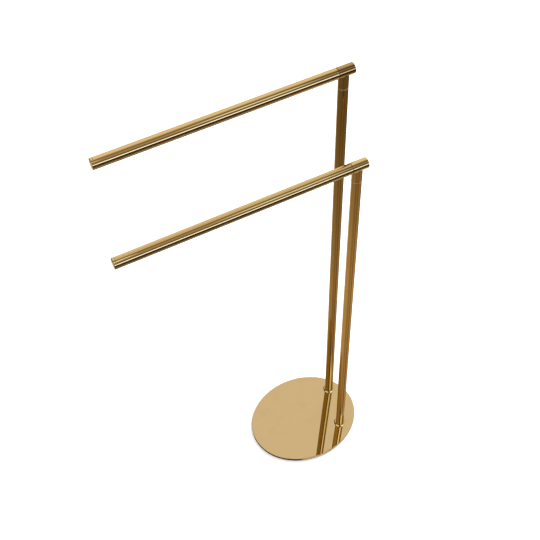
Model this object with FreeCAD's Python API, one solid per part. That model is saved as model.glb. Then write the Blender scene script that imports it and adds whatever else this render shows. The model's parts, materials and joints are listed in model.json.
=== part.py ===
import FreeCAD, Part
import math
import os

# Freestanding towel stand: an oval base plate, two posts, and an arm that swivels on each post.
# Millimetres. The origin is on the floor under the plate's centre, +Z is up, and both arms reach
# towards -X at rest. The rear post, at +Y, carries the upper arm; the front post carries the lower.

os.makedirs("parts", exist_ok=True)

Vector = FreeCAD.Vector
UP = Vector(0, 0, 1)
ALONG_ARM = Vector(-1, 0, 0)

# ---- Base ------------------------------------------------------------------------------------
plate_length = 240.0            # the oval's long axis, along the arms
plate_width = 200.0
plate_thickness = 5.0
plate_top_bevel = 1.1
plate_bottom_bevel = 0.4
pad_thickness = 2.0
pad_inset = 1.0                 # from the plate's rim to the pad's
pad_hole_margin = 1.0           # room around a screw's head in the pad

# ---- Posts -----------------------------------------------------------------------------------
rear_post_x = 87.0
rear_post_y = 37.5
front_post_x = 66.5
front_post_y = -49.5
post_diameter = 17.5
post_wall = 1.0
collar_diameter = 25.0
collar_height = 3.4
collar_lip_bevel = 0.5          # on the collar's inner top edge
collar_round_steps = 4          # flats that make up the collar's half round outside

# ---- Arms ------------------------------------------------------------------------------------
upper_arm_height = 955.0        # from the floor to the arm's axis
lower_arm_height = 839.5
arm_diameter = 18.0
arm_wall = 1.0
arm_reach = 405.0               # from the post's axis to the far end
head_front = 12.0               # from the post's axis to the seam with the tube
head_back = 17.0                # from the post's axis to the head's flat end
head_end_bevel = 0.6
neck_drop = 30.0                # from the arm's axis to the neck's foot
cap_rim = 4.3
cap_end_bevel = 0.6
cap_spigot = 9.0
cap_recess_wall = 2.0
seam_bevel = 0.25               # on each edge that meets another at a seam

# ---- Swivel ----------------------------------------------------------------------------------
swivel_stud_diameter = 6.0
swivel_stud_in_head = 8.0
swivel_stud_tail = 2.0          # stands out under the lock nut
bush_length = 14.0
glide_washer_thickness = 1.0
glide_washer_inset = 0.1        # from the post's outside to the washer's
spring_washer_diameter = 12.5
spring_washer_thickness = 0.8
spring_washer_dish = 0.5
lock_nut_flats = 10.0
lock_nut_height = 5.0
lock_nut_ring_height = 1.4      # the round locking ring under the hexagon

# ---- Plugs, studs and screws -----------------------------------------------------------------
arm_stud_diameter = 6.0
arm_stud_in_head = 6.5
arm_stud_in_plug = 14.0
arm_plug_length = 16.0
foot_plug_length = 16.0
base_screw_diameter = 6.0
base_screw_head_diameter = 12.0
base_screw_in_plug = 12.0
base_screw_key_flats = 4.0
base_screw_key_depth = 2.0
stud_bevel = 0.5

# ---- Clearances ------------------------------------------------------------------------------
running_clearance = 0.05        # radial, between a turning shaft and its bush
press_clearance = 0.02          # radial, what is left of a press or thread fit
collar_clearance = 0.05         # radial, around the post
saddle_clearance = 0.05         # between the neck's saddle and the head
screw_hole_clearance = 0.25     # radial, around a base screw in the plate
spring_washer_clearance = 0.2   # radial, around the stud
swivel_gap = 0.02               # between flat faces that turn on each other
seat_depth = 0.2                # a screw's head under the plate's face, a plug inside a tube's end

# ---- Worked out from the sizes above ---------------------------------------------------------
plate_top = pad_thickness + plate_thickness
post_radius = post_diameter / 2
post_bore_radius = post_radius - post_wall
arm_radius = arm_diameter / 2
arm_bore_radius = arm_radius - arm_wall
swivel_stud_radius = swivel_stud_diameter / 2
arm_stud_radius = arm_stud_diameter / 2
screw_radius = base_screw_diameter / 2
screw_head_radius = base_screw_head_diameter / 2
screw_head_height = screw_head_radius - screw_radius      # a 90 degree countersink
POSTS = {
    "rear": (rear_post_x, rear_post_y, upper_arm_height),
    "front": (front_post_x, front_post_y, lower_arm_height),
}
ARM_OF_POST = {"rear": "upper", "front": "lower"}


# ---- Shapes ----------------------------------------------------------------------------------
def rod(radius, start, length, direction=UP):
    """A round bar from the point start."""
    return Part.makeCylinder(radius, length, start, direction)


def pipe(outer_radius, inner_radius, start, length, direction=UP):
    """A round tube from the point start."""
    outside = rod(outer_radius, start, length, direction)
    return outside.cut(rod(inner_radius, start - direction, length + 2, direction))


def circle_edges(shape, radius, centre):
    """The shape's full circles of that radius around the point centre."""
    found = []
    for edge in shape.Edges:
        curve = edge.Curve
        if not isinstance(curve, Part.Circle):
            continue
        if abs(curve.Radius - radius) < 1e-4 and (curve.Center - centre).Length < 1e-4:
            found.append(edge)
    return found


def oval(length, width, bottom, height):
    """An oval slab with its long axis along X."""
    curve = Part.Ellipse(Vector(0, 0, bottom), length / 2, width / 2)
    face = Part.Face(Part.Wire([curve.toShape()]))
    return face.extrude(UP * height)


def edges_at_height(shape, height):
    """The edges that lie wholly at one height."""
    def level(edge):
        box = edge.BoundBox
        return abs(box.ZMin - height) < 1e-3 and abs(box.ZMax - height) < 1e-3
    return [edge for edge in shape.Edges if level(edge)]


def turned(corners, x, y, bottom):
    """A solid turned about a vertical axis from its section's corners."""
    section = Part.Face(Part.makePolygon(corners + corners[:1]))
    solid = section.revolve(Vector(0, 0, 0), UP, 360)
    solid.translate(Vector(x, y, bottom))
    return solid


def at(radius, height):
    """A corner of a turned section."""
    return Vector(radius, 0, height)


def hexagon(flats, x, y, bottom, height):
    """A hexagonal bar around a vertical axis."""
    corner = flats / math.sqrt(3)
    points = []
    for step in range(7):
        angle = math.radians(60 * step)
        points.append(Vector(x + corner * math.cos(angle), y + corner * math.sin(angle), bottom))
    return Part.Face(Part.makePolygon(points)).extrude(UP * height)


# ---- Base ------------------------------------------------------------------------------------
def make_base_plate():
    """The oval plate, with a countersunk hole under each post."""
    plate = oval(plate_length, plate_width, pad_thickness, plate_thickness)
    plate = plate.makeChamfer(plate_top_bevel, edges_at_height(plate, plate_top))
    plate = plate.makeChamfer(plate_bottom_bevel, edges_at_height(plate, pad_thickness))
    hole_radius = screw_radius + screw_hole_clearance
    mouth_radius = screw_head_radius + screw_hole_clearance + seat_depth
    for x, y, _ in POSTS.values():
        foot = Vector(x, y, pad_thickness)
        plate = plate.cut(rod(hole_radius, foot - UP, plate_thickness + 2))
        plate = plate.cut(Part.makeCone(mouth_radius, hole_radius, mouth_radius - hole_radius, foot, UP))
    return plate


def make_base_pad():
    """The pad under the plate, open around the screws' heads."""
    pad = oval(plate_length - 2 * pad_inset, plate_width - 2 * pad_inset, 0, pad_thickness)
    for x, y, _ in POSTS.values():
        hole_radius = screw_head_radius + screw_hole_clearance + seat_depth + pad_hole_margin
        pad = pad.cut(rod(hole_radius, Vector(x, y, -1), pad_thickness + 2))
    return pad


def make_base_screw(x, y):
    """A countersunk screw, from under the plate into the foot plug."""
    foot = Vector(x, y, pad_thickness + seat_depth)
    tip_height = plate_top + base_screw_in_plug
    head = Part.makeCone(screw_head_radius, screw_radius, screw_head_height, foot, UP)
    shank = rod(screw_radius, foot, tip_height - foot.z)
    tip = Vector(x, y, tip_height)
    shank = shank.makeChamfer(stud_bevel, circle_edges(shank, screw_radius, tip))
    screw = head.fuse(shank).removeSplitter()
    key = hexagon(base_screw_key_flats, x, y, foot.z - 1, base_screw_key_depth + 1)
    return screw.cut(key)


def make_base_screws():
    """Both screws, as separate solids in one node."""
    return Part.makeCompound([make_base_screw(x, y) for x, y, _ in POSTS.values()])


def make_collar(post):
    """The ring around a post's foot: half round outside, with a bevelled inner lip."""
    x, y, _ = POSTS[post]
    inner = post_radius + collar_clearance
    bulge = collar_height / 2
    shoulder = collar_diameter / 2 - bulge
    corners = [at(inner, 0)]
    for step in range(collar_round_steps + 1):
        turn = math.pi * step / collar_round_steps
        corners.append(at(shoulder + bulge * math.sin(turn), bulge * (1 - math.cos(turn))))
    corners.append(at(inner + collar_lip_bevel, collar_height))
    corners.append(at(inner, collar_height - collar_lip_bevel))
    return turned(corners, x, y, plate_top)


def make_foot_plug(post):
    """The tapped plug inside a post's lower end."""
    x, y, _ = POSTS[post]
    start = Vector(x, y, plate_top + seat_depth)
    return pipe(post_bore_radius - press_clearance, screw_radius + press_clearance, start, foot_plug_length)


def post_top(post):
    """The height of a post's upper end."""
    return POSTS[post][2] - neck_drop - glide_washer_thickness


def make_post(post):
    """An upright tube, from the plate to the seam under the neck."""
    x, y, _ = POSTS[post]
    top = post_top(post)
    tube = pipe(post_radius, post_bore_radius, Vector(x, y, plate_top), top - plate_top)
    return tube.makeChamfer(seam_bevel, circle_edges(tube, post_radius, Vector(x, y, top)))


# ---- Swivel ----------------------------------------------------------------------------------
def make_swivel_bush(post):
    """The bush pressed into a post's top, flush with the tube's end."""
    x, y, _ = POSTS[post]
    start = Vector(x, y, post_top(post) - bush_length)
    bore = swivel_stud_radius + running_clearance
    return pipe(post_bore_radius - press_clearance, bore, start, bush_length)


def make_glide_washer(post):
    """The ring that the neck turns on."""
    x, y, _ = POSTS[post]
    start = Vector(x, y, post_top(post))
    bore = swivel_stud_radius + running_clearance
    return pipe(post_radius - glide_washer_inset, bore, start, glide_washer_thickness - swivel_gap)


def make_spring_washer(post):
    """The dished washer that the lock nut presses up against the bush."""
    x, y, _ = POSTS[post]
    inner = swivel_stud_radius + spring_washer_clearance
    outer = spring_washer_diameter / 2
    corners = [
        at(inner, 0),
        at(outer, spring_washer_dish),
        at(outer, spring_washer_dish + spring_washer_thickness),
        at(inner, spring_washer_thickness),
    ]
    return turned(corners, x, y, nut_top(post))


def nut_top(post):
    """The height of the lock nut's upper face."""
    under_bush = post_top(post) - bush_length - swivel_gap
    return under_bush - spring_washer_dish - spring_washer_thickness


def make_lock_nut(post):
    """A hexagon nut with its round locking ring underneath."""
    x, y, _ = POSTS[post]
    hexagon_bottom = nut_top(post) - lock_nut_height
    nut = hexagon(lock_nut_flats, x, y, hexagon_bottom, lock_nut_height)
    ring_bottom = Vector(x, y, hexagon_bottom - lock_nut_ring_height)
    nut = nut.fuse(rod(lock_nut_flats / 2 - stud_bevel, ring_bottom, lock_nut_ring_height))
    bore = swivel_stud_radius + press_clearance
    hole = rod(bore, ring_bottom - UP, lock_nut_height + lock_nut_ring_height + 2)
    return nut.cut(hole).removeSplitter()


def swivel_stud_top(post):
    """The height of the swivel stud's upper end, inside the head."""
    return POSTS[post][2] - arm_radius + swivel_stud_in_head


def make_swivel_stud(post):
    """The stud from the lock nut, up through bush and neck, into the head."""
    x, y, _ = POSTS[post]
    bottom = Vector(x, y, nut_top(post) - lock_nut_height - lock_nut_ring_height - swivel_stud_tail)
    top = Vector(x, y, swivel_stud_top(post))
    stud = rod(swivel_stud_radius, bottom, top.z - bottom.z)
    ends = circle_edges(stud, swivel_stud_radius, bottom) + circle_edges(stud, swivel_stud_radius, top)
    return stud.makeChamfer(stud_bevel, ends)


# ---- Arm -------------------------------------------------------------------------------------
def arm_point(post, reach):
    """A point on the arm's axis, at that distance from the post's axis towards the far end."""
    x, y, height = POSTS[post]
    return Vector(x, y, height) + ALONG_ARM * reach


def make_neck(post):
    """The short upright piece, cut to a saddle that fits round the head's underside."""
    x, y, height = POSTS[post]
    foot = Vector(x, y, height - neck_drop)
    neck = rod(post_radius, foot, neck_drop)
    neck = neck.makeChamfer(seam_bevel, circle_edges(neck, post_radius, foot))
    saddle = rod(arm_radius + saddle_clearance, arm_point(post, -post_diameter), 2 * post_diameter, ALONG_ARM)
    bore = rod(swivel_stud_radius + press_clearance, foot - UP, neck_drop + 2)
    return neck.cut(saddle).cut(bore)


def make_head(post):
    """The level bar over the post, with a hole for each stud."""
    x, y, height = POSTS[post]
    back = arm_point(post, -head_back)
    seam = arm_point(post, head_front)
    head = rod(arm_radius, back, head_back + head_front, ALONG_ARM)
    head = head.makeChamfer(head_end_bevel, circle_edges(head, arm_radius, back))
    head = head.makeChamfer(seam_bevel, circle_edges(head, arm_radius, seam))
    under = Vector(x, y, height - arm_radius - 1)
    swivel_hole_length = swivel_stud_top(post) + seat_depth - under.z
    head = head.cut(rod(swivel_stud_radius + press_clearance, under, swivel_hole_length))
    hole_end = arm_point(post, head_front - arm_stud_in_head - seat_depth)
    return head.cut(rod(arm_stud_radius + press_clearance, hole_end, arm_stud_in_head + 2, ALONG_ARM))


def make_arm_stud(post):
    """The stud that pulls the tube's plug up to the head."""
    near = arm_point(post, head_front - arm_stud_in_head)
    far = arm_point(post, head_front + arm_stud_in_plug)
    stud = rod(arm_stud_radius, near, arm_stud_in_head + arm_stud_in_plug, ALONG_ARM)
    ends = circle_edges(stud, arm_stud_radius, near) + circle_edges(stud, arm_stud_radius, far)
    return stud.makeChamfer(stud_bevel, ends)


def make_arm_plug(post):
    """The tapped plug inside the tube's near end."""
    start = arm_point(post, head_front + seat_depth)
    outer = arm_bore_radius - press_clearance
    return pipe(outer, arm_stud_radius + press_clearance, start, arm_plug_length, ALONG_ARM)


def make_arm_tube(post):
    """The towel rail, from its seam with the head to its seam with the cap."""
    near = arm_point(post, head_front)
    far = arm_point(post, arm_reach - cap_rim)
    tube = pipe(arm_radius, arm_bore_radius, near, arm_reach - cap_rim - head_front, ALONG_ARM)
    ends = circle_edges(tube, arm_radius, near) + circle_edges(tube, arm_radius, far)
    return tube.makeChamfer(seam_bevel, ends)


def make_end_cap(post):
    """The cap on the far end: a rim as wide as the tube, and a hollow spigot inside it."""
    seam = arm_point(post, arm_reach - cap_rim)
    end = arm_point(post, arm_reach)
    rim = rod(arm_radius, seam, cap_rim, ALONG_ARM)
    rim = rim.makeChamfer(cap_end_bevel, circle_edges(rim, arm_radius, end))
    rim = rim.makeChamfer(seam_bevel, circle_edges(rim, arm_radius, seam))
    spigot_start = arm_point(post, arm_reach - cap_rim - cap_spigot)
    spigot_radius = arm_bore_radius - press_clearance
    spigot = rod(spigot_radius, spigot_start, cap_spigot, ALONG_ARM)
    recess = rod(spigot_radius - cap_recess_wall, spigot_start + Vector(1, 0, 0), cap_spigot + 1, ALONG_ARM)
    return rim.fuse(spigot).cut(recess).removeSplitter()


# ---- The assembly ----------------------------------------------------------------------------
def make_all():
    """Every node, by name."""
    nodes = {
        "base_plate": make_base_plate(),
        "base_pad": make_base_pad(),
        "base_screws": make_base_screws(),
    }
    for post, arm in ARM_OF_POST.items():
        nodes[post + "_collar"] = make_collar(post)
        nodes[post + "_foot_plug"] = make_foot_plug(post)
        nodes[post + "_post"] = make_post(post)
        nodes[arm + "_swivel_bush"] = make_swivel_bush(post)
        nodes[arm + "_glide_washer"] = make_glide_washer(post)
        nodes[arm + "_spring_washer"] = make_spring_washer(post)
        nodes[arm + "_lock_nut"] = make_lock_nut(post)
        nodes[arm + "_swivel_stud"] = make_swivel_stud(post)
        nodes[arm + "_neck"] = make_neck(post)
        nodes[arm + "_head"] = make_head(post)
        nodes[arm + "_arm_stud"] = make_arm_stud(post)
        nodes[arm + "_arm_plug"] = make_arm_plug(post)
        nodes[arm + "_arm_tube"] = make_arm_tube(post)
        nodes[arm + "_end_cap"] = make_end_cap(post)
    return nodes


for name, shape in make_all().items():
    print(name, "valid" if shape.isValid() else "NOT VALID", len(shape.Solids), round(shape.Volume, 1))
    shape.exportStep("parts/" + name + ".step")
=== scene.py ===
"""Looks of the freestanding towel stand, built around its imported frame. Lengths are in metres."""
import json
import logging
import math
from dataclasses import dataclass
from enum import Enum
from typing import Any, Optional, Sequence, Union

import bmesh
import bpy
from mathutils import Matrix, Vector


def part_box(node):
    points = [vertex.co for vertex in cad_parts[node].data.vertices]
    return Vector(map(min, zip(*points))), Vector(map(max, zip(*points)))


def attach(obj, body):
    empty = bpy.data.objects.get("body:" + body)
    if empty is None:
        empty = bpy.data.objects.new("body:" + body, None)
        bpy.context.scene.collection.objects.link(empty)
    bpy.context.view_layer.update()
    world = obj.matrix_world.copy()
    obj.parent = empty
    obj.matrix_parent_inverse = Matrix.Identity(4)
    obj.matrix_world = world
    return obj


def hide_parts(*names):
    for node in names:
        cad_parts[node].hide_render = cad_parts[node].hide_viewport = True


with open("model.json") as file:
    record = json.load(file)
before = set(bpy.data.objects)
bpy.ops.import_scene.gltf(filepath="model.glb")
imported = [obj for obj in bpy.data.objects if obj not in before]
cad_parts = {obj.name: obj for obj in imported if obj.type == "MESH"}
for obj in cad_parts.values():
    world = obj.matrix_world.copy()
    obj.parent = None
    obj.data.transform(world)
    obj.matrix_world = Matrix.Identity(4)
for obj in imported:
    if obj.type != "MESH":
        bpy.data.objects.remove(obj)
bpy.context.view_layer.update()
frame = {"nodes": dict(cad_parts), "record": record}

MM = 0.001
UP = Vector((0.0, 0.0, 1.0))
ALONG_ARM = Vector((-1.0, 0.0, 0.0))

# The camera stands where the photograph was taken from, found from the object's own outlines.
CAMERA_PLACE = Vector((-0.4843, -0.8956, 1.9025))
CAMERA_AHEAD = Vector((0.25513, 0.54751, -0.79696))
CAMERA_RIGHT = Vector((0.89104, -0.45317, -0.02608))
CAMERA_LENS_MM = 62.63
SENSOR_MM = 36.0

log = logging.getLogger("towel_stand")

Triple = tuple[float, float, float]
Colour = Triple
WHITE: Colour = (1.0, 1.0, 1.0)
Value = Union["Signal", float, Colour]


# ---------------------------------------------------------------- node trees
class Signal:
    """An output socket that takes part in Python arithmetic."""

    def __init__(self, tree: "Tree", socket: bpy.types.NodeSocket) -> None:
        """Wraps a socket of a tree."""
        self.tree = tree
        self.socket = socket

    def _math(self, operation: str, first: Value, second: Value = 0.0) -> "Signal":
        """Adds one Math node on two values."""
        return self.tree.node("ShaderNodeMath", {"operation": operation}, {0: first, 1: second})

    def __add__(self, other: Value) -> "Signal":
        """Self plus other."""
        return self._math("ADD", self, other)

    __radd__ = __add__

    def __sub__(self, other: Value) -> "Signal":
        """Self minus other."""
        return self._math("SUBTRACT", self, other)

    def __rsub__(self, other: Value) -> "Signal":
        """Other minus self."""
        return self._math("SUBTRACT", other, self)

    def __mul__(self, other: Value) -> "Signal":
        """Self times other."""
        return self._math("MULTIPLY", self, other)

    __rmul__ = __mul__

    def __truediv__(self, other: Value) -> "Signal":
        """Self over other."""
        return self._math("DIVIDE", self, other)

    def __neg__(self) -> "Signal":
        """Self with its sign turned."""
        return self._math("MULTIPLY", self, -1.0)

    def root(self) -> "Signal":
        """The square root of self."""
        return self._math("SQRT", self)

    def turned_from(self, other: "Signal") -> "Signal":
        """The angle whose tangent is self over other, in radians."""
        return self._math("ARCTAN2", self, other)

    def ease(self, zero: float, one: float) -> "Signal":
        """0 at and beyond one place, 1 at and beyond the other, and smooth between them."""
        settings = {"interpolation_type": "SMOOTHSTEP"}
        inputs = {"Value": self, "From Min": min(zero, one), "From Max": max(zero, one)}
        inputs |= {"To Min": float(zero > one), "To Max": float(zero < one)}
        return self.tree.node("ShaderNodeMapRange", settings, inputs)


class Tree:
    """A node tree that is filled through one node-making method."""

    def __init__(self, nodes: bpy.types.NodeTree) -> None:
        """Wraps a node tree."""
        self.nodes = nodes

    def node(
        self,
        kind: str,
        settings: Optional[dict[str, Any]] = None,
        inputs: Optional[dict[Union[str, int], Any]] = None,
        output: Union[str, int] = 0,
    ) -> Signal:
        """Adds a node, sets it and feeds its sockets.

        Args:
            kind: the node's type.
            settings: its properties; "stops" holds a colour ramp's (place, colour) pairs.
            inputs: values or signals, by socket name or number.
            output: the output to hand back, by name or number.

        Returns:
            The chosen output as a signal.
        """
        made = self.nodes.nodes.new(kind)
        for name, value in (settings or {}).items():
            if name == "stops":
                self._set_stops(made.color_ramp, value)
            else:
                setattr(made, name, value)
        for name, value in (inputs or {}).items():
            socket = made.inputs[name]
            if isinstance(value, Signal):
                self.nodes.links.new(value.socket, socket)
            else:
                socket.default_value = self._fitted(socket, value)
        return Signal(self, made.outputs[output]) if made.outputs else Signal(self, None)

    @staticmethod
    def _fitted(socket: bpy.types.NodeSocket, value: Any) -> Any:
        """Adds an alpha of 1 to a colour that lacks one."""
        return (*value, 1.0) if socket.type == "RGBA" and len(value) == 3 else value

    @staticmethod
    def _set_stops(ramp: bpy.types.ColorRamp, stops: Sequence[tuple[float, Colour]]) -> None:
        """Fills a colour ramp."""
        while len(ramp.elements) > 1:
            ramp.elements.remove(ramp.elements[-1])
        ramp.elements[0].position = stops[0][0]
        ramp.elements[0].color = (*stops[0][1], 1.0)
        for place, colour in stops[1:]:
            ramp.elements.new(place).color = (*colour, 1.0)

    def mix(self, factor: Value, first: Value, second: Value, label: str = "") -> Signal:
        """A colour between first and second."""
        # The node's sockets share their names, so the ones for colours go by number.
        settings = {"data_type": "RGBA", "label": label}
        return self.node("ShaderNodeMix", settings, {0: factor, 6: first, 7: second}, 2)

    def noise(self, place: Signal, scale: float, detail: float = 3.0) -> Signal:
        """Smooth noise from 0 to 1."""
        inputs = {"Vector": place, "Scale": scale, "Detail": detail, "Roughness": 0.5}
        return self.node("ShaderNodeTexNoise", None, inputs)

    def ramp(self, stops: Sequence[tuple[float, Colour]], factor: Signal) -> Signal:
        """The colour at a place along a colour ramp."""
        return self.node("ShaderNodeValToRGB", {"stops": stops}, {"Fac": factor})

    def split(self, vector: Signal) -> tuple[Signal, ...]:
        """A vector's parts along X, Y and Z."""
        outputs = self.node("ShaderNodeSeparateXYZ", None, {"Vector": vector}).socket.node.outputs
        return tuple(Signal(self, socket) for socket in outputs)

    def stretched(self, scale: Triple) -> Signal:
        """Object coordinates, scaled along each axis."""
        return self.node("ShaderNodeMapping", None, {"Vector": self.place(), "Scale": scale})

    def place(self) -> Signal:
        """Object coordinates."""
        return self.node("ShaderNodeTexCoord", None, None, "Object")


def new_material(name: str) -> tuple[bpy.types.Material, Tree]:
    """An empty node material and its tree."""
    material = bpy.data.materials.new(name)
    material.use_nodes = True
    material.node_tree.nodes.clear()
    return material, Tree(material.node_tree)


def principled(tree: Tree, inputs: dict[str, Any]) -> None:
    """Ends a material's tree in one Principled shader."""
    shader = tree.node("ShaderNodeBsdfPrincipled", None, inputs)
    tree.node("ShaderNodeOutputMaterial", None, {"Surface": shader})


# ---------------------------------------------------------------- finishes
NOISE_MIDDLE = 0.5


class Grain(Enum):
    """The way the polishing marks run: how fast they vary along X, Y and Z."""

    ALONG_ARM = (0.02, 1.0, 1.0)
    UP_POST = (1.0, 1.0, 0.02)
    ROUND_ABOUT = (0.3, 0.3, 1.0)
    SHEET = (0.35, 1.0, 1.0)
    EVEN = (1.0, 1.0, 1.0)


@dataclass(frozen=True)
class PolishedGold:
    """Mirror-polished gold plating with faint polishing marks.

    Attributes:
        name: the material's name.
        grain: the way its marks run.
        colour: linear colour of the plating.
        roughness: of the cleanest places.
        haze: what the marks and the handling add to the roughness.
        fall: how much the sheet falls per metre along X, as a bump.
        marks_size: marks per metre across the grain.
        handled_size: handled patches per metre.
        worn_share: how bright the marked and handled places are, as a share of the clean colour.
    """

    name: str
    grain: Grain
    colour: Colour = (0.80, 0.58, 0.27)
    roughness: float = 0.015
    haze: float = 0.03
    fall: float = 0.0
    marks_size: float = 2600.0
    handled_size: float = 34.0
    worn_share: float = 0.93

    # Where in their noise the marks and the handled patches start, and where they are full.
    TONE_MARKS = (0.45, 0.75)
    HAZE_MARKS = (0.50, 0.80)
    HANDLED = (0.50, 0.72)
    # How much each takes part in the tone and in the haze.
    TONE_SHARES = (0.35, 0.5)
    HAZE_SHARES = (0.6, 0.4)

    def make(self) -> bpy.types.Material:
        """Builds the material."""
        material, tree = new_material(self.name)
        marks = tree.noise(tree.stretched(self.grain.value), self.marks_size)
        handled = tree.noise(tree.stretched(Grain.EVEN.value), self.handled_size).ease(*self.HANDLED)
        tone = marks.ease(*self.TONE_MARKS) * self.TONE_SHARES[0] + handled * self.TONE_SHARES[1]
        haze = marks.ease(*self.HAZE_MARKS) * self.HAZE_SHARES[0] + handled * self.HAZE_SHARES[1]
        worn = tuple(self.worn_share * part for part in self.colour)
        base = tree.mix(tone, self.colour, worn)
        inputs = {"Base Color": base, "Metallic": 1.0, "Roughness": self.roughness + haze * self.haze}
        if self.fall:
            lean = {"Strength": 1.0, "Distance": 1.0, "Height": tree.split(tree.place())[0] * -self.fall}
            inputs["Normal"] = tree.node("ShaderNodeBump", None, lean)
        principled(tree, inputs)
        return material


@dataclass(frozen=True)
class PlainMetal:
    """Zinc-plated, blued or turned metal, for the pieces inside.

    Attributes:
        name: the material's name.
        colour: its clean colour.
        worn: its colour where it has rubbed.
        roughness: its middle roughness.
        grain: the way its turning marks run.
        marks_size: marks per metre across the grain.
        blotch_size: rubbed blotches per metre.
    """

    name: str
    colour: Colour
    worn: Colour
    roughness: float
    grain: Grain = Grain.ROUND_ABOUT
    marks_size: float = 1800.0
    blotch_size: float = 260.0

    RUBBED = (0.45, 0.65)
    ROUGHNESS_SPREAD = 0.2
    MARKS = {"Strength": 0.15, "Distance": 0.05 * MM}

    def make(self) -> bpy.types.Material:
        """Builds the material."""
        material, tree = new_material(self.name)
        marks = tree.noise(tree.stretched(self.grain.value), self.marks_size)
        blotches = tree.noise(tree.stretched(Grain.EVEN.value), self.blotch_size)
        base = tree.mix(blotches.ease(*self.RUBBED), self.colour, self.worn)
        rough = self.roughness + (marks - NOISE_MIDDLE) * self.ROUGHNESS_SPREAD
        bump = tree.node("ShaderNodeBump", None, {**self.MARKS, "Height": marks})
        principled(tree, {"Base Color": base, "Metallic": 1.0, "Roughness": rough, "Normal": bump})
        return material


@dataclass(frozen=True)
class SoftPlastic:
    """Rubber or nylon: a matt surface with a fine skin.

    Attributes:
        name: the material's name.
        colour: its clean colour.
        dusty: its colour where dust or handling shows.
        roughness: its middle roughness.
        skin_size: bumps of the skin per metre.
        dust_size: dusty patches per metre.
    """

    name: str
    colour: Colour
    dusty: Colour
    roughness: float
    skin_size: float
    dust_size: float = 60.0

    DUSTY = (0.48, 0.70)
    DETAIL = 4.0
    ROUGHNESS_SPREAD = 0.15
    SKIN = {"Strength": 0.3, "Distance": 0.1 * MM}

    def make(self) -> bpy.types.Material:
        """Builds the material."""
        material, tree = new_material(self.name)
        skin = tree.noise(tree.stretched(Grain.EVEN.value), self.skin_size, self.DETAIL)
        dust = tree.noise(tree.stretched(Grain.EVEN.value), self.dust_size, self.DETAIL)
        base = tree.mix(dust.ease(*self.DUSTY), self.colour, self.dusty)
        rough = self.roughness + (skin - NOISE_MIDDLE) * self.ROUGHNESS_SPREAD
        bump = tree.node("ShaderNodeBump", None, {**self.SKIN, "Height": skin})
        principled(tree, {"Base Color": base, "Roughness": rough, "Normal": bump})
        return material


@dataclass
class Finishes:
    """Every finish of the stand, made once.

    Attributes:
        arm: of both arm tubes, their caps and the lower head.
        head: of the upper head, which is browner in the photograph. That browner gold is painted shade.
        posts: of each post and the neck above it. The front one is lighter in the photograph. Both are one
            plating: the front one's lighter gold is painted light and the rear one's darker gold is painted
            shade.
        ring: of the collars.
        plate: of the base plate.
        by_slot: of the pieces that aren't gold, by material slot.
    """

    arm: bpy.types.Material
    head: bpy.types.Material
    posts: dict[str, bpy.types.Material]
    ring: bpy.types.Material
    plate: bpy.types.Material
    by_slot: dict[str, bpy.types.Material]

    @classmethod
    def make(cls) -> "Finishes":
        """Builds the materials."""
        steel = PlainMetal("zinc_steel", (0.56, 0.57, 0.58), worn=(0.40, 0.41, 0.43), roughness=0.32)
        spring = PlainMetal("blued_spring", (0.16, 0.17, 0.21), worn=(0.24, 0.22, 0.21), roughness=0.36)
        brass = PlainMetal("turned_brass", (0.68, 0.50, 0.22), worn=(0.56, 0.40, 0.17), roughness=0.28)
        black, dusty_black = (0.012, 0.012, 0.012), (0.035, 0.034, 0.032)
        rubber = SoftPlastic("black_pad_rubber", black, dusty_black, roughness=0.72, skin_size=900.0)
        pale, dusty_pale = (0.31, 0.28, 0.22), (0.26, 0.23, 0.17)
        nylon = SoftPlastic("pale_glide_nylon", pale, dusty_pale, roughness=0.42, skin_size=700.0)
        slots = {
            "plain_steel": steel.make(),
            "spring_steel": spring.make(),
            "bush_brass": brass.make(),
            "black_rubber": rubber.make(),
            "pale_nylon": nylon.make(),
        }
        # One plating in two tones: painted light on the front post and its neck, painted shade on the rear
        # post and its neck.
        post_gold_lit_and_shaded = {"rear": (0.72, 0.52, 0.24), "front": (0.96, 0.70, 0.33)}
        return cls(
            arm=PolishedGold("gold_arm", Grain.ALONG_ARM).make(),
            # The upper head's browner gold is painted shade.
            head=PolishedGold("gold_upper_head_painted_shade", Grain.ALONG_ARM, colour=(0.55, 0.35, 0.15)).make(),
            posts={
                post: PolishedGold(f"gold_{post}_post", Grain.UP_POST, gold, 0.03, haze=0.05).make()
                for post, gold in post_gold_lit_and_shaded.items()
            },
            ring=PolishedGold("gold_ring", Grain.ROUND_ABOUT, haze=0.01).make(),
            plate=PolishedGold("gold_plate", Grain.SHEET, haze=0.02, fall=0.029).make(),
            by_slot=slots,
        )


# ---------------------------------------------------------------- forms
@dataclass(frozen=True)
class Corner:
    """A corner of a section: how far out, how high, and its rounding."""

    out: float
    high: float
    round: float = 0.0


# Points in each arc, and how far before and after it a point keeps the straight run flat.
ARC_STEPS = 7
ARC_LEAD = 0.2 * MM


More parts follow.
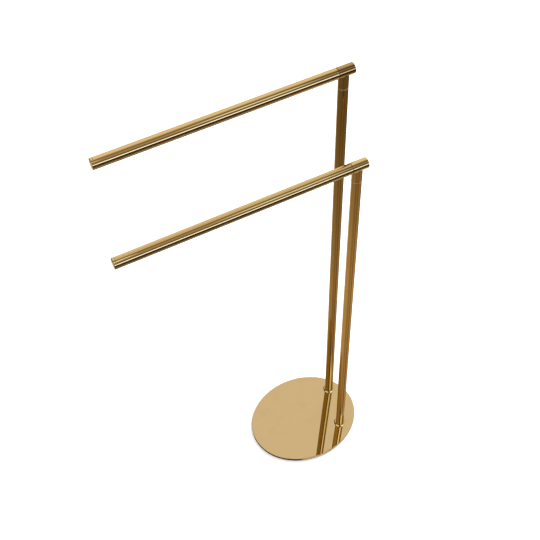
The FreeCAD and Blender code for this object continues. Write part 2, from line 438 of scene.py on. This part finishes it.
def rounded(corners: Sequence[Corner], closed: bool, lead: float = ARC_LEAD) -> list[Vector]:
    """Turns a section's corners into points, with an arc at each rounded one.

    Args:
        corners: the corners in order.
        closed: whether the last one joins the first.
        lead: how far before and after an arc a point keeps the straight run flat.

    Returns:
        The section's points, as (out, high, 0).
    """
    points: list[Vector] = []
    count = len(corners)
    for index, corner in enumerate(corners):
        here = Vector((corner.out, corner.high, 0.0))
        inner = closed or 0 < index < count - 1
        if corner.round <= 0.0 or not inner:
            points.append(here)
            continue
        before, after = corners[index - 1], corners[(index + 1) % count]
        back = (Vector((before.out, before.high, 0.0)) - here).normalized()
        ahead = (Vector((after.out, after.high, 0.0)) - here).normalized()
        half = back.angle(ahead) / 2
        reach = corner.round / math.tan(half)
        centre = here + (back + ahead).normalized() * (corner.round / math.sin(half))
        start, end = here + back * reach, here + ahead * reach
        points.append(start + back * lead)
        for step in range(ARC_STEPS):
            spoke = (start - centre).slerp(end - centre, step / (ARC_STEPS - 1))
            points.append(centre + spoke.normalized() * corner.round)
        points.append(end + ahead * lead)
    return points


class SweepTree:
    """The geometry tree that carries a section round an oval or a circle."""

    INPUTS = {
        "Half Length": "NodeSocketFloat",
        "Half Width": "NodeSocketFloat",
        "Segments": "NodeSocketInt",
        "Finish": "NodeSocketMaterial",
    }

    def __init__(self) -> None:
        """Builds the tree with its named inputs."""
        self.group = bpy.data.node_groups.new("section_round_oval", "GeometryNodeTree")
        face = self.group.interface
        face.new_socket("Section", in_out="INPUT", socket_type="NodeSocketGeometry")
        face.new_socket("Form", in_out="OUTPUT", socket_type="NodeSocketGeometry")
        self.names = {
            name: face.new_socket(name, in_out="INPUT", socket_type=kind).identifier
            for name, kind in self.INPUTS.items()
        }
        tree = Tree(self.group)
        entry = self.group.nodes.new("NodeGroupInput")
        given = {socket.name: Signal(tree, socket) for socket in entry.outputs}
        section = tree.node("GeometryNodeMeshToCurve", None, {"Mesh": given["Section"]})
        round_path = {"Resolution": given["Segments"], "Radius": 1.0}
        ring = tree.node("GeometryNodeCurvePrimitiveCircle", None, round_path)
        sizes = {"X": given["Half Length"], "Y": given["Half Width"], "Z": 1.0}
        scale = tree.node("ShaderNodeCombineXYZ", None, sizes)
        path = tree.node("GeometryNodeTransform", None, {"Geometry": ring, "Scale": scale})
        skin = tree.node("GeometryNodeCurveToMesh", None, {"Curve": path, "Profile Curve": section})
        real = tree.node("GeometryNodeRealizeInstances", None, {"Geometry": skin})
        dressed = tree.node("GeometryNodeSetMaterial", None, {"Geometry": real, "Material": given["Finish"]})
        tree.node("NodeGroupOutput", None, {"Form": dressed})

    def sweep(self, points: Sequence[Vector], closed: bool, values: dict[str, Any]) -> bpy.types.Mesh:
        """Carries a section round the tree's path.

        Args:
            points: the section, as (outwards from the path, high, 0).
            closed: whether the section is a closed loop.
            values: the tree's inputs, by name.

        Returns:
            The plain mesh.
        """
        count = len(points)
        edges = [(i, (i + 1) % count) for i in range(count if closed else count - 1)]
        # The path carries a section upside down, so its heights are turned over first.
        wire = bpy.data.meshes.new("section")
        wire.from_pydata([(p.x, -p.y, 0.0) for p in points], edges, [])
        holder = bpy.data.objects.new("section", wire)
        bpy.context.scene.collection.objects.link(holder)
        modifier = holder.modifiers.new("sweep", "NODES")
        modifier.node_group = self.group
        for name, value in values.items():
            modifier[self.names[name]] = value
        evaluated = holder.evaluated_get(bpy.context.evaluated_depsgraph_get())
        mesh = bpy.data.meshes.new_from_object(evaluated)
        bpy.data.objects.remove(holder)
        return mesh


SHARP_FROM = math.radians(32.0)
SAME_PLACE = 0.001 * MM


def finish_mesh(mesh: bpy.types.Mesh, move: Matrix = Matrix.Identity(4)) -> bpy.types.Mesh:
    """Merges, closes, places and smooths a mesh, and keeps its sharp edges sharp.

    Args:
        mesh: the mesh to finish, changed in place.
        move: takes it to its place.

    Returns:
        The same mesh.
    """
    work = bmesh.new()
    work.from_mesh(mesh)
    bmesh.ops.remove_doubles(work, verts=work.verts, dist=SAME_PLACE)
    open_edges = [edge for edge in work.edges if edge.is_boundary]
    if open_edges:
        bmesh.ops.holes_fill(work, edges=open_edges, sides=0)
    bmesh.ops.transform(work, matrix=move, verts=work.verts)
    bmesh.ops.recalc_face_normals(work, faces=work.faces)
    for face in work.faces:
        face.smooth = True
    for edge in work.edges:
        edge.smooth = len(edge.link_faces) != 2 or edge.calc_face_angle(0.0) < SHARP_FROM
    work.to_mesh(mesh)
    work.free()
    mesh.update()
    return mesh


def place_piece(
    name: str,
    mesh: bpy.types.Mesh,
    material: bpy.types.Material,
    body: str,
    node: str,
) -> None:
    """Puts a finished mesh in the scene.

    Args:
        name: the piece's name.
        mesh: its form, in place.
        material: its finish.
        body: the body that it moves with.
        node: the CAD node that it replaces.
    """
    piece = bpy.data.objects.new(name, mesh)
    bpy.context.scene.collection.objects.link(piece)
    mesh.materials.clear()
    mesh.materials.append(material)
    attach(piece, body)
    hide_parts(node)
    log.info("%s: %d faces on %s", name, len(mesh.polygons), body)


@dataclass
class Workshop:
    """What every sub-assembly needs.

    Attributes:
        tree: sweeps their sections.
        finishes: their finishes.
        turned_segments: sides of a turned piece.
        oval_segments: sides of the plate and the pad.
    """

    tree: SweepTree
    finishes: Finishes
    turned_segments: int = 144
    oval_segments: int = 288

    def turned(
        self,
        corners: Sequence[Corner],
        closed: bool,
        place: Vector,
        axis: Vector,
        material: bpy.types.Material,
    ) -> bpy.types.Mesh:
        """Turns a section about an axis.

        Args:
            corners: the section, out from the axis and along it.
            closed: true for a tube's wall, false for a section that ends on the axis.
            place: where the axis starts.
            axis: the way it runs.
            material: its finish.

        Returns:
            The finished mesh, in place.
        """
        # The path is a circle of radius 1, so each point moves in by that much.
        points = [point - Vector((1.0, 0.0, 0.0)) for point in rounded(corners, closed)]
        values = {"Half Length": 1.0, "Half Width": 1.0, "Segments": self.turned_segments}
        mesh = self.tree.sweep(points, closed, {**values, "Finish": material})
        turn = UP.rotation_difference(axis).to_matrix().to_4x4()
        return finish_mesh(mesh, Matrix.Translation(place) @ turn)


# ---------------------------------------------------------------- sub-assemblies
def tube_section(
    outside: float, bore: float, start: float, end: float, rounds: tuple[float, float]
) -> list[Corner]:
    """A tube's wall, with its outer edges rounded at the start and the end."""
    return [
        Corner(bore, start),
        Corner(outside, start, rounds[0]),
        Corner(outside, end, rounds[1]),
        Corner(bore, end),
    ]


@dataclass
class Base:
    """The oval plate and its pad. The screws keep their own solids.

    Attributes:
        shop: the tree and the finishes.
        plate_rounds: rounding of the plate's edge, above and below.
        lead: how far before and after a rounding a point keeps the sheet flat.
        pad_inset: how far the pad's edge lies inside the plate's. It is kept small, so the black pad also
            stands in for the shade under the rim: partly the real pad, partly painted shade.
        pad_rounds: rounding of the pad's edge, above and below.
        pad_foot: the height of the pad's underside.
    """

    shop: Workshop
    plate_rounds: tuple[float, float] = (0.7 * MM, 0.3 * MM)
    lead: float = 0.4 * MM
    pad_inset: float = 0.15 * MM
    pad_rounds: tuple[float, float] = (0.3 * MM, 0.4 * MM)
    pad_foot: float = 0.01 * MM

    def build(self) -> None:
        """Makes the plate, and the pad that shows as a dark line under its rim. That line is partly the real
        pad and partly painted shade.
        """
        low, high = (Vector(corner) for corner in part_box("base_plate"))
        half = (high - low) / 2
        gold = self.shop.finishes.plate
        width = self.plate_rounds[0] + 2 * self.lead
        plate = self._disc(half, (high.z, low.z), (0.0, width), self.plate_rounds, gold)
        place_piece("base_plate_polished", plate, gold, "stand", "base_plate")
        rubber = self.shop.finishes.by_slot["black_rubber"]
        # The pad reaches almost to the rim, so its black stands partly for painted shade under the rim.
        width = self.pad_inset + 4 * self.lead
        pad = self._disc(half, (low.z, self.pad_foot), (self.pad_inset, width), self.pad_rounds, rubber)
        place_piece("base_pad_rubber", pad, rubber, "stand", "base_pad")

    def _disc(
        self,
        half: Vector,
        heights: tuple[float, float],
        insets: tuple[float, float],
        rounds: tuple[float, float],
        material: bpy.types.Material,
    ) -> bpy.types.Mesh:
        """An oval disc with a rounded edge.

        Args:
            half: the plate's half length and half width.
            heights: the disc's top and underside.
            insets: how far inside the plate's rim the edge lies, and how far inside it the swept strip ends.
            rounds: rounding of the edge, above and below.
            material: its finish.

        Returns:
            The finished mesh, with its flat top and underside closed.
        """
        top, foot = heights
        edge, inner = -insets[0], -insets[1]
        corners = [
            Corner(inner, top),
            Corner(edge, top, rounds[0]),
            Corner(edge, foot, rounds[1]),
            Corner(inner, foot),
        ]
        values = {
            "Half Length": half.x,
            "Half Width": half.y,
            "Segments": self.shop.oval_segments,
            "Finish": material,
        }
        return finish_mesh(self.shop.tree.sweep(rounded(corners, False, self.lead), False, values))


@dataclass
class Upright:
    """One post with its collar, and the neck, head, tube and cap of its arm.

    Attributes:
        shop: the tree and the finishes.
        post: the post's name, rear or front.
        arm: its arm's name, upper or lower.
        wall: thickness of the tubes' walls.
        seam_round: rounding of the edges at each seam.
        seam_gap: width of the groove where the head meets the tube.
        seam_depth: depth of that groove.
        end_round: rounding of the arm's two ends.
        saddle_groove: depth and height of the groove where the neck meets the head.
        neck_segments: sides of the neck.
        top_rings: rings of faces across its saddle.
        collar_play: gap between collar and post.
        collar_rounds: rounding of the collar's inner and lower edges, and of its outer edges.
        collar_wall: height of its upright outer wall, as a share of its height.
        collar_slope: how far it slopes inwards above that, as a share of its width.
        spigot_play: gap between the cap's spigot and the tube.
        spigot_length: how far the spigot goes into the tube.
        spigot_round: rounding of its end.
    """

    shop: Workshop
    post: str
    arm: str
    wall: float = 1.0 * MM
    seam_round: float = 0.45 * MM
    seam_gap: float = 0.6 * MM
    seam_depth: float = 2.2 * MM
    end_round: float = 1.0 * MM
    saddle_groove: float = 0.5 * MM
    neck_segments: int = 120
    top_rings: int = 4
    collar_play: float = 0.05 * MM
    collar_rounds: tuple[float, float] = (0.3 * MM, 0.7 * MM)
    collar_wall: float = 0.30
    collar_slope: float = 0.47
    spigot_play: float = 0.02 * MM
    spigot_length: float = 9.0 * MM
    spigot_round: float = 0.4 * MM

    def __post_init__(self) -> None:
        """Reads the post's and the arm's sizes from the frame."""
        low, high = (Vector(c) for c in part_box(self.post + "_post"))
        self.axis = Vector(((low.x + high.x) / 2, (low.y + high.y) / 2, 0.0))
        self.post_radius = (high.x - low.x) / 2
        self.post_foot, self.post_top = low.z, high.z
        low, high = (Vector(c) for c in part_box(self.arm + "_head"))
        self.arm_radius = (high.z - low.z) / 2
        self.arm_height = (high.z + low.z) / 2
        self.head_back, self.seam = self.axis.x - high.x, self.axis.x - low.x
        cap_low = Vector(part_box(self.arm + "_end_cap")[0])
        tube_low = Vector(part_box(self.arm + "_arm_tube")[0])
        self.reach, self.cap_seam = self.axis.x - cap_low.x, self.axis.x - tube_low.x
        self.neck_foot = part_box(self.arm + "_neck")[0][2]
        self.body = self.arm + "_arm"

    def build(self) -> None:
        """Makes every shown piece."""
        self._collar()
        self._post()
        self._neck()
        self._head()
        self._tube()
        self._cap()

    def _upright(
        self, corners: Sequence[Corner], closed: bool, material: bpy.types.Material
    ) -> bpy.types.Mesh:
        """A piece turned about the post's axis."""
        return self.shop.turned(corners, closed, self.axis, UP, material)

    def _level(self, corners: Sequence[Corner], closed: bool) -> bpy.types.Mesh:
        """A piece turned about the arm's axis."""
        start = self.axis + UP * self.arm_height
        return self.shop.turned(corners, closed, start, ALONG_ARM, self.shop.finishes.arm)

    def _collar(self) -> None:
        """The ring at the post's foot, sloping outside."""
        low, high = (Vector(c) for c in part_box(self.post + "_collar"))
        outside = (high.x - low.x) / 2
        inside = self.post_radius + self.collar_play
        width, height = outside - inside, high.z - low.z
        small, large = self.collar_rounds
        corners = [
            Corner(inside, low.z),
            Corner(outside, low.z, small),
            Corner(outside, low.z + self.collar_wall * height, large),
            Corner(outside - self.collar_slope * width, high.z, large),
            Corner(inside, high.z, small),
        ]
        mesh = self._upright(corners, True, self.shop.finishes.ring)
        name = self.post + "_collar"
        place_piece(name + "_ring", mesh, self.shop.finishes.ring, "stand", name)

    def _post(self) -> None:
        """The upright tube."""
        bore = self.post_radius - self.wall
        rounds = (0.0, self.seam_round)
        corners = tube_section(self.post_radius, bore, self.post_foot, self.post_top, rounds)
        finish = self.shop.finishes.posts[self.post]
        mesh = self._upright(corners, True, finish)
        place_piece(self.post + "_post_tube", mesh, finish, "stand", self.post + "_post")

    def _saddle(self, across: float) -> float:
        """The height of the head's underside, that far across it."""
        return self.arm_height - math.sqrt(max(self.arm_radius ** 2 - across ** 2, 0.0))

    def _neck_rows(self) -> list[Triple]:
        """The neck's rings, from the middle of its foot to the middle of its top.

        Returns:
            Each ring's radius, its share of the way up to the saddle, and what is added to its height.
        """
        radius, groove = self.post_radius, self.saddle_groove
        rows: list[Triple] = [(0.0, 0.0, 0.0), (radius - self.seam_round - ARC_LEAD, 0.0, 0.0)]
        for step in range(ARC_STEPS):
            turn = math.pi / 2 * step / (ARC_STEPS - 1)
            out = radius - self.seam_round * (1 - math.sin(turn))
            rows.append((out, 0.0, self.seam_round * (1 - math.cos(turn))))
        rows += [(radius, 0.0, self.seam_round + ARC_LEAD), (radius, 1.0, -groove - ARC_LEAD)]
        rows += [(radius, 1.0, -groove), (radius - groove, 1.0, -groove)]
        for ring in range(self.top_rings + 1):
            rows.append(((radius - groove) * (1 - ring / self.top_rings), 1.0, 0.0))
        return rows

    def _neck(self) -> None:
        """The short upright piece whose top is cut to the head's underside."""
        foot = self.neck_foot
        work = bmesh.new()
        rings = []
        for out, share, extra in self._neck_rows():
            ring = []
            for step in range(self.neck_segments):
                turn = 2 * math.pi * step / self.neck_segments
                x, y = out * math.cos(turn), out * math.sin(turn)
                z = foot + (self._saddle(y) - foot) * share + extra
                ring.append(work.verts.new(self.axis + Vector((x, y, z))))
            rings.append(ring)
        for lower, upper in zip(rings, rings[1:]):
            for step in range(self.neck_segments):
                after = (step + 1) % self.neck_segments
                work.faces.new((lower[step], lower[after], upper[after], upper[step]))
        mesh = bpy.data.meshes.new("neck")
        work.to_mesh(mesh)
        work.free()
        finish = self.shop.finishes.posts[self.post]
        place_piece(self.arm + "_neck_saddle", finish_mesh(mesh), finish, self.body, self.arm + "_neck")

    def _head(self) -> None:
        """The level bar over the post, with a groove where it meets the tube."""
        step = self.arm_radius - self.seam_depth
        corners = [
            Corner(0.0, self.head_back),
            Corner(self.arm_radius, self.head_back, self.end_round),
            Corner(self.arm_radius, self.seam - self.seam_gap, self.seam_round),
            Corner(step, self.seam - self.seam_gap),
            Corner(step, self.seam),
            Corner(0.0, self.seam),
        ]
        # The upper head takes the browner gold, which is painted shade.
        finish = self.shop.finishes.head if self.arm == "upper" else self.shop.finishes.arm
        name = self.arm + "_head"
        place_piece(name + "_bar", self._level(corners, False), finish, self.body, name)

    def _tube(self) -> None:
        """The towel rail."""
        bore = self.arm_radius - self.wall
        rounds = (self.seam_round, self.seam_round)
        corners = tube_section(self.arm_radius, bore, self.seam, self.cap_seam, rounds)
        name = self.arm + "_arm_tube"
        place_piece(name + "_rail", self._level(corners, True), self.shop.finishes.arm, self.body, name)

    def _cap(self) -> None:
        """The cap at the far end, with its spigot inside the tube."""
        spigot = self.arm_radius - self.wall - self.spigot_play
        depth = self.cap_seam - self.spigot_length
        corners = [
            Corner(0.0, depth),
            Corner(spigot, depth, self.spigot_round),
            Corner(spigot, self.cap_seam),
            Corner(self.arm_radius, self.cap_seam, self.seam_round),
            Corner(self.arm_radius, self.reach, self.end_round),
            Corner(0.0, self.reach),
        ]
        name = self.arm + "_end_cap"
        place_piece(name + "_rim", self._level(corners, False), self.shop.finishes.arm, self.body, name)


def dress_inner_nodes(finishes: Finishes) -> None:
    """Gives every CAD node that stays shown the finish of its slot."""
    slots = {row["node"]: row["material_slot"] for row in frame["record"]["subparts"]}
    for name, node in frame["nodes"].items():
        material = finishes.by_slot.get(slots[name])
        if material is None:
            continue
        node.data.materials.clear()
        node.data.materials.append(material)
        log.info("%s: %s", name, material.name)


# ---------------------------------------------------------------- studio
class Part(Enum):
    """A measure of the ray along which polished metal sees the room. The ray's length is 1."""

    X = "its part along X"
    Y = "its part along Y"
    UP = "its part upwards"
    DOWN = "its part downwards"
    TURN = "degrees from overhead towards the front"
    FACING = "cosine of its angle from the camera's side, seen from above"
    ASIDE = "sine of that angle, positive to the camera's right"
    SIDEWAYS = "its part to the camera's right"


Fade = tuple[Part, float, float]


@dataclass(frozen=True)
class Patch:
    """A soft-edged patch of the room.

    Attributes:
        name: what it gives the picture.
        colour: its light.
        fades: the patch lies where all of these are up. Each is a part, where it is 0 and where it is 1.
        strength: how much it covers of what was there.
        spares: it leaves out the place where all of these are up.
    """

    name: str
    colour: Colour
    fades: tuple[Fade, ...]
    strength: float = 1.0
    spares: tuple[Fade, ...] = ()


class Room:
    """The room that polished metal sees, chosen so that each piece reflects what the photograph shows."""

    # Broad bands above, as (degrees from overhead towards the front, colour).
    OVERHEAD = (
        (-180.0, (0.30, 0.21, 0.12)),
        (-135.0, (0.55, 0.45, 0.33)),
        (-100.0, (0.72, 0.66, 0.52)),
        (-62.0, (0.92, 0.87, 0.75)),
        (-33.0, (0.92, 0.87, 0.75)),
        (-29.0, (0.78, 0.76, 0.79)),
        (-19.0, (0.76, 0.74, 0.76)),
        (-12.0, (0.62, 0.54, 0.40)),
        (-4.0, (0.36, 0.27, 0.15)),
        (2.0, (0.28, 0.20, 0.10)),
        (22.0, (0.28, 0.20, 0.10)),
        (27.5, (1.00, 1.25, 1.35)),
        (38.0, (1.00, 1.25, 1.35)),
        (43.0, (0.30, 0.22, 0.11)),
        (48.0, (0.22, 0.15, 0.07)),
        (66.0, (0.24, 0.16, 0.08)),
        (86.0, (0.05, 0.03, 0.02)),
        (92.0, (0.015, 0.01, 0.01)),
        (110.0, (0.015, 0.01, 0.01)),
        (117.0, (0.12, 0.08, 0.045)),
        (150.0, (0.15, 0.10, 0.05)),
        (180.0, (0.30, 0.21, 0.12)),
    )
    # Tones below, as (the ray's part downwards, colour).
    UNDERFOOT = (
        (0.50, (0.12, 0.08, 0.045)),
        (0.70, (0.17, 0.115, 0.055)),
        (0.76, (0.29, 0.20, 0.10)),
        (0.81, (0.41, 0.285, 0.145)),
        (0.915, (0.38, 0.245, 0.11)),
        (0.935, (0.06, 0.04, 0.02)),
        (1.00, (0.06, 0.04, 0.02)),
    )
    HORIZON: Fade = (Part.DOWN, 0.40, 0.52)

    HIGH: Fade = (Part.UP, 0.45, 0.60)
    # The posts' reflections in the plate show what lies this high.
    FROM_PLATE: Fade = (Part.UP, 0.835, 0.855)
    LEVEL_FRONT = ((Part.UP, -0.35, -0.15), (Part.UP, 0.50, 0.35), (Part.Y, 0.15, -0.05))
    SIDE_LIGHT = (1.00, 0.98, 0.88)
    ABOVE = (
        Patch(
            "white line low on the arms",
            (1.60, 2.00, 2.90),
            ((Part.TURN, 72.5, 74.5), (Part.TURN, 87.5, 85.5)),
        ),
        Patch(
            "dark left half of the posts' reflections in the plate",
            (0.04, 0.028, 0.010),
            ((Part.X, 0.02, -0.10),),
            0.95,
        ),
        Patch(
            "dull left edge of these reflections",
            (0.32, 0.25, 0.10),
            (HIGH, (Part.X, -0.27, -0.31)),
        ),
        Patch(
            "dark right edge of these reflections",
            (0.12, 0.08, 0.03),
            (HIGH, (Part.X, 0.33, 0.38), (Part.TURN, -5.0, 5.0)),
            0.7,
        ),
        Patch(
            "bright streak in these reflections",
            (2.00, 2.50, 2.60),
            (FROM_PLATE, (Part.X, 0.01, 0.04), (Part.X, 0.14, 0.12), (Part.TURN, 18.0, 22.0)),
        ),
        Patch(
            "end of the cream line towards the arms' far ends",
            (0.28, 0.20, 0.10),
            ((Part.X, 0.28, 0.20), (Part.TURN, 22.0, 27.0), (Part.TURN, 43.0, 38.0)),
            0.85,
            ((Part.X, 0.12, 0.10), FROM_PLATE),
        ),
        Patch(
            "light from the left on the collars",
            SIDE_LIGHT,
            ((Part.X, -0.27, -0.36), (Part.FACING, 0.99, 0.97), *LEVEL_FRONT),
        ),
        Patch(
            "light from the right on the collars",
            SIDE_LIGHT,
            ((Part.X, 0.40, 0.50), *LEVEL_FRONT),
        ),
    )

    BEHIND: Fade = (Part.FACING, -0.30, -0.75)
    STEEP = ((Part.DOWN, 0.875, 0.89), (Part.DOWN, 0.935, 0.92))
    BELOW = (
        Patch(
            "dark middle of the posts",
            (0.09, 0.055, 0.02),
            ((Part.FACING, 0.88, 0.97),),
            0.45,
        ),
        Patch(
            "light left edge of the posts",
            (0.62, 0.52, 0.38),
            (BEHIND, (Part.ASIDE, 0.05, -0.05)),
        ),
        Patch(
            "dark right edge of the posts",
            (0.10, 0.05, 0.02),
            (BEHIND, (Part.ASIDE, -0.05, 0.05)),
            0.7,
        ),
        Patch(
            "dark underside of the arms",
            (0.11, 0.075, 0.035),
            ((Part.X, 0.06, 0.12), (Part.X, 0.36, 0.30), (Part.Y, -0.05, -0.20)),
            0.85,
        ),
        Patch(
            "pale side of the plate",
            (0.85, 0.80, 0.70),
            STEEP,
        ),
        Patch(
            "black left part of that side",
            (0.004, 0.004, 0.004),
            (*STEEP, (Part.SIDEWAYS, 0.18, 0.09)),
        ),
    )
    # Keeps a ray that runs straight up or down from dividing by 0.
    LEAST_LENGTH = 0.0001

    def __init__(self, tree: Tree) -> None:
        """Measures the ray in the world's tree."""
        self.tree = tree
        x, y, up = tree.split(tree.node("ShaderNodeTexCoord", None, None, "Generated"))
        front = CAMERA_PLACE.xy.normalized()
        length = (x * x + y * y).root() + self.LEAST_LENGTH
        sideways = y * front.x - x * front.y
        self.parts = {
            Part.X: x,
            Part.Y: y,
            Part.UP: up,
            Part.DOWN: -up,
            Part.TURN: (-y).turned_from(up) * math.degrees(1.0),
            Part.FACING: (x * front.x + y * front.y) / length,
            Part.ASIDE: sideways / length,
            Part.SIDEWAYS: sideways,
        }

    def light(self) -> Signal:
        """The light that comes along the ray."""
        circle = 360.0
        stops = [(angle / circle + 0.5, colour) for angle, colour in self.OVERHEAD]
        above = self.tree.ramp(stops, self.parts[Part.TURN] / circle + 0.5)
        below = self.tree.ramp(self.UNDERFOOT, self.parts[Part.DOWN])
        above, below = self._patched(above, self.ABOVE), self._patched(below, self.BELOW)
        return self.tree.mix(self._common((self.HORIZON,)), above, below)

    def _patched(self, light: Signal, patches: Sequence[Patch]) -> Signal:
        """Lays patches over a light, one after another."""
        for patch in patches:
            cover = self._common(patch.fades) * patch.strength
            if patch.spares:
                cover = cover * (1.0 - self._common(patch.spares))
            light = self.tree.mix(cover, light, patch.colour, patch.name)
        return light

    def _common(self, fades: Sequence[Fade]) -> Signal:
        """1 where all the fades are up."""
        return math.prod(self.parts[part].ease(zero, one) for part, zero, one in fades)


@dataclass
class Studio:
    """The pale floor, the soft light and the camera.

    Attributes:
        floor_half: half the floor's length and width.
        floor_drop: how far it lies under the stand.
        floor_tone: how much light it gives back.
        floor_glow: what is added to it for the camera, so that it is as pale as the photograph's ground.
        soft_level: the even light from all round on everything that isn't a mirror.
        lamp_power: watts of the lamp.
        lamp_size: its width.
        lamp_place: where it hangs.
        lamp_aim: what it points at.
        far_limit: how far the camera sees.
    """

    floor_half: float = 30.0
    floor_drop: float = 0.3 * MM
    floor_tone: float = 0.86
    floor_glow: float = 0.42
    soft_level: float = 0.62
    lamp_power: float = 105.0
    lamp_size: float = 1.5
    lamp_place: Triple = (1.9, 1.0, 2.6)
    lamp_aim: Triple = (0.0, 0.0, 0.4)
    far_limit: float = 100.0

    def build(self) -> None:
        """Makes the whole studio."""
        self._floor()
        self._lamp()
        self._world()
        self._camera()
        bpy.context.scene.view_settings.view_transform = "Standard"

    def _floor(self) -> None:
        """A plain pale floor that keeps the object's shadow."""
        material, tree = new_material("pale_floor")
        seen = tree.node("ShaderNodeLightPath", None, None, "Is Camera Ray")
        matt = tree.node("ShaderNodeBsdfDiffuse", None, {"Color": (self.floor_tone,) * 3})
        glow = tree.node("ShaderNodeEmission", None, {"Color": WHITE, "Strength": seen * self.floor_glow})
        both = tree.node("ShaderNodeAddShader", None, {0: matt, 1: glow})
        tree.node("ShaderNodeOutputMaterial", None, {"Surface": both})
        half, drop = self.floor_half, -self.floor_drop
        mesh = bpy.data.meshes.new("floor")
        corners = [(-half, -half, drop), (half, -half, drop), (half, half, drop), (-half, half, drop)]
        mesh.from_pydata(corners, [], [(0, 1, 2, 3)])
        mesh.materials.append(material)
        floor = bpy.data.objects.new("floor", mesh)
        bpy.context.scene.collection.objects.link(floor)
        floor.visible_glossy = False

    def _lamp(self) -> None:
        """One large soft lamp, high up behind the stand."""
        data = bpy.data.lights.new("soft_lamp", "AREA")
        data.shape = "DISK"
        data.size = self.lamp_size
        data.energy = self.lamp_power
        lamp = bpy.data.objects.new("soft_lamp", data)
        lamp.location = self.lamp_place
        lamp.rotation_mode = "QUATERNION"
        ahead = Vector(self.lamp_aim) - Vector(self.lamp_place)
        lamp.rotation_quaternion = ahead.to_track_quat("-Z", "Y")
        lamp.visible_glossy = False
        bpy.context.scene.collection.objects.link(lamp)

    def _world(self) -> None:
        """White for the camera, the room for polished metal and even soft light for everything else."""
        world = bpy.data.worlds.new("studio")
        world.use_nodes = True
        world.node_tree.nodes.clear()
        bpy.context.scene.world = world
        tree = Tree(world.node_tree)
        room = Room(tree).light()
        camera, glossy, through = (
            tree.node("ShaderNodeLightPath", None, None, name)
            for name in ("Is Camera Ray", "Is Glossy Ray", "Is Transmission Ray")
        )
        light = tree.mix(glossy + through, (self.soft_level,) * 3, room)
        light = tree.mix(camera, light, WHITE)
        background = tree.node("ShaderNodeBackground", None, {"Color": light, "Strength": 1.0})
        tree.node("ShaderNodeOutputWorld", None, {"Surface": background})

    def _camera(self) -> None:
        """The camera, at the photograph's place and angle."""
        data = bpy.data.cameras.new("camera")
        data.sensor_width = SENSOR_MM
        data.lens = CAMERA_LENS_MM
        data.clip_end = self.far_limit
        data.dof.use_dof = False
        back = -CAMERA_AHEAD.normalized()
        right = CAMERA_RIGHT.normalized()
        top = back.cross(right)
        turn = Matrix((right, top, back)).transposed().to_4x4()
        camera = bpy.data.objects.new("camera", data)
        camera.matrix_world = Matrix.Translation(CAMERA_PLACE) @ turn
        bpy.context.scene.collection.objects.link(camera)
        bpy.context.scene.camera = camera


def main() -> None:
    """Builds the stand's looks and the studio."""
    logging.basicConfig(level=logging.INFO, format="%(message)s")
    finishes = Finishes.make()
    shop = Workshop(SweepTree(), finishes)
    Base(shop).build()
    Upright(shop, "rear", "upper").build()
    Upright(shop, "front", "lower").build()
    dress_inner_nodes(finishes)
    Studio().build()


if __name__ == "__main__":
    main()
